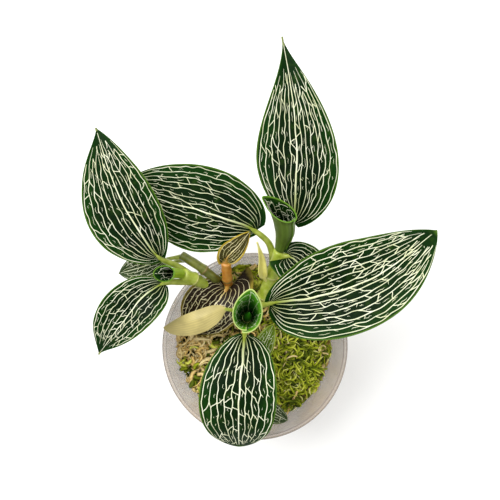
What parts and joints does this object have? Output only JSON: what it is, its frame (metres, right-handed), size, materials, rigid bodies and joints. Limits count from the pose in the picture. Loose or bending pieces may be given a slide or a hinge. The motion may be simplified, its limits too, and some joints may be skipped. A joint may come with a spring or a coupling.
{
  "type": "jewel orchid in a clear pot",
  "caption": "Potted jewel orchid: dark net-veined leaves and rolled young leaves on fleshy shoots in moss, in a clear round pot.",
  "frame": {"origin": "centre of the pot's flat bottom face, where it stands", "axes": "+Z up, +X and +Y in the plane of the base; seen from above, +X is right and +Y is up in the picture"},
  "size_m": [0.1502, 0.1786, 0.1214],
  "materials": {
    "clear_plastic": "clear, slightly hazy",
    "dry_moss": "matt, fibrous",
    "fresh_moss": "matt, fibrous",
    "shoot_green": "fleshy, satin",
    "shoot_olive": "fleshy, satin",
    "shoot_orange": "fleshy, satin",
    "leaf_green": "velvety, net-veined",
    "leaf_old": "ageing, net-veined",
    "leaf_dry": "dry, matt",
    "leaf_young": "young, glossy"
  },
  "bodies": {
    "root": {"pot_clear": "clear_plastic", "sphagnum_bed": "dry_moss", "sphagnum_green": "fresh_moss", "shoot_centre": "shoot_green", "shoot_top": "shoot_green", "shoot_left": "shoot_green", "shoot_olive": "shoot_olive", "shoot_stub": "shoot_orange", "shoot_front": "shoot_green", "leaf_top": "leaf_green", "leaf_upper_left": "leaf_green", "leaf_behind": "leaf_green", "leaf_lower_left": "leaf_green", "leaf_right": "leaf_green", "leaf_bottom": "leaf_green", "leaf_brown": "leaf_old", "leaf_gold_edge": "leaf_old", "leaf_dry_folded": "leaf_dry", "leaf_heart": "leaf_green", "leaf_netted": "leaf_young", "leaf_rim": "leaf_green", "leaf_grey": "leaf_green", "leaf_hidden": "leaf_old", "bract_pale": "leaf_young", "rolled_centre": "leaf_young", "rolled_top": "leaf_green", "rolled_left": "leaf_green"}
  },
  "joints": []
}
